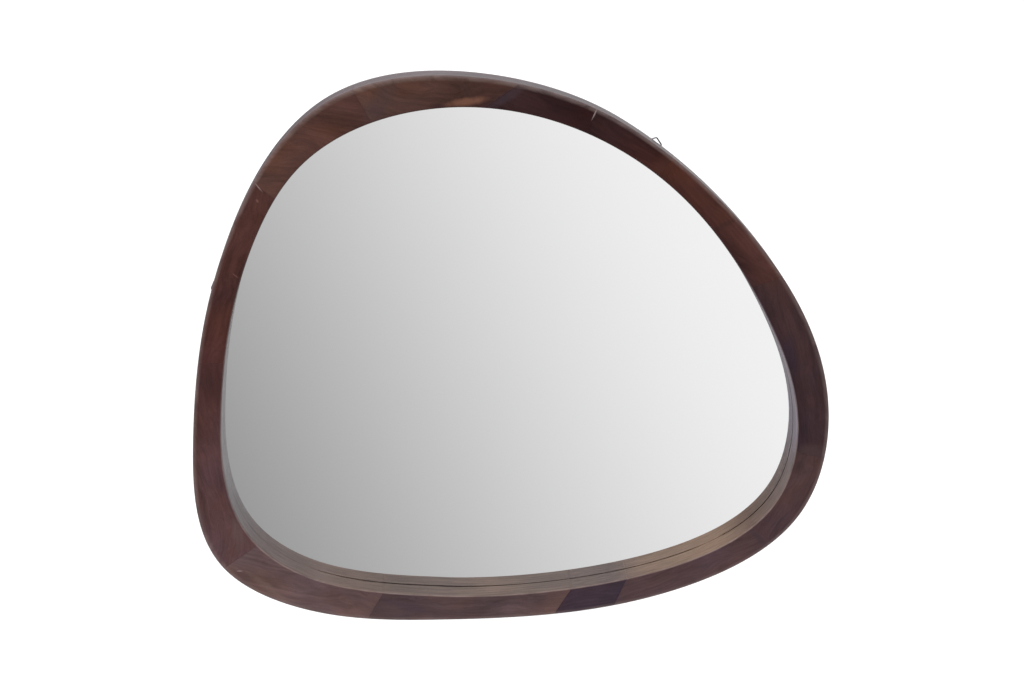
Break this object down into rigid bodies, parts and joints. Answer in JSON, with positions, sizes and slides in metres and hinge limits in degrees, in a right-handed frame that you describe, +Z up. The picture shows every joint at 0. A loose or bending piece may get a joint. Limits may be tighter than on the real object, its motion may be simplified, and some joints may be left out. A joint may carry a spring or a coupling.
{
  "type": "wall mirror",
  "caption": "Wall mirror: sheet glass set deep in an asymmetric rounded frame glued up from dark wood blocks, with D-ring hangers on the back.",
  "frame": {"origin": "on the wall plane, behind the middle of the frame's outline", "axes": "+X to the right seen from the room, +Y into the wall, +Z up"},
  "size_m": [0.9164, 0.041, 0.8323],
  "materials": {
    "walnut_dark": "satin lacquer over dark stain",
    "walnut_brown": "satin lacquer over dark stain",
    "walnut_warm": "satin lacquer over dark stain",
    "walnut_light": "satin lacquer over dark stain",
    "beech": "plain",
    "silvered_glass": "polished",
    "black_foam": "matte",
    "hardboard": "raw, smooth",
    "zinc_steel": "zinc plated",
    "ring_steel": "nickel plated",
    "bumper_rubber": "matte"
  },
  "bodies": {
    "mirror": {"frame_block_01": "walnut_warm", "frame_block_02": "walnut_dark", "frame_block_03": "walnut_dark", "frame_block_04": "walnut_brown", "frame_block_05": "walnut_brown", "frame_block_06": "walnut_warm", "frame_block_07": "walnut_brown", "frame_block_08": "walnut_light", "frame_block_09": "walnut_dark", "frame_block_10": "walnut_dark", "frame_block_11": "walnut_brown", "frame_block_12": "walnut_warm", "frame_block_13": "walnut_dark", "joint_dowels": "beech", "mirror_glass": "silvered_glass", "foam_strip": "black_foam", "backing_board": "hardboard", "board_screws": "zinc_steel", "strap_left": "zinc_steel", "strap_upper": "zinc_steel", "strap_screws": "zinc_steel", "wall_bumpers": "bumper_rubber"},
    "d_ring_left": {"ring_left": "ring_steel"},
    "d_ring_upper": {"ring_upper": "ring_steel"}
  },
  "joints": [
    {"name": "ring_left_hinge", "type": "hinge", "parent": "mirror", "child": "d_ring_left", "pos_m": [-0.4063, -0.00415, 0.1143], "axis": [-0.9848, 0, 0.1736], "range_deg": [0, 165]},
    {"name": "ring_upper_hinge", "type": "hinge", "parent": "mirror", "child": "d_ring_upper", "pos_m": [0.193, -0.00415, 0.3036], "axis": [-0.9397, 0, -0.342], "range_deg": [0, 165]}
  ]
}
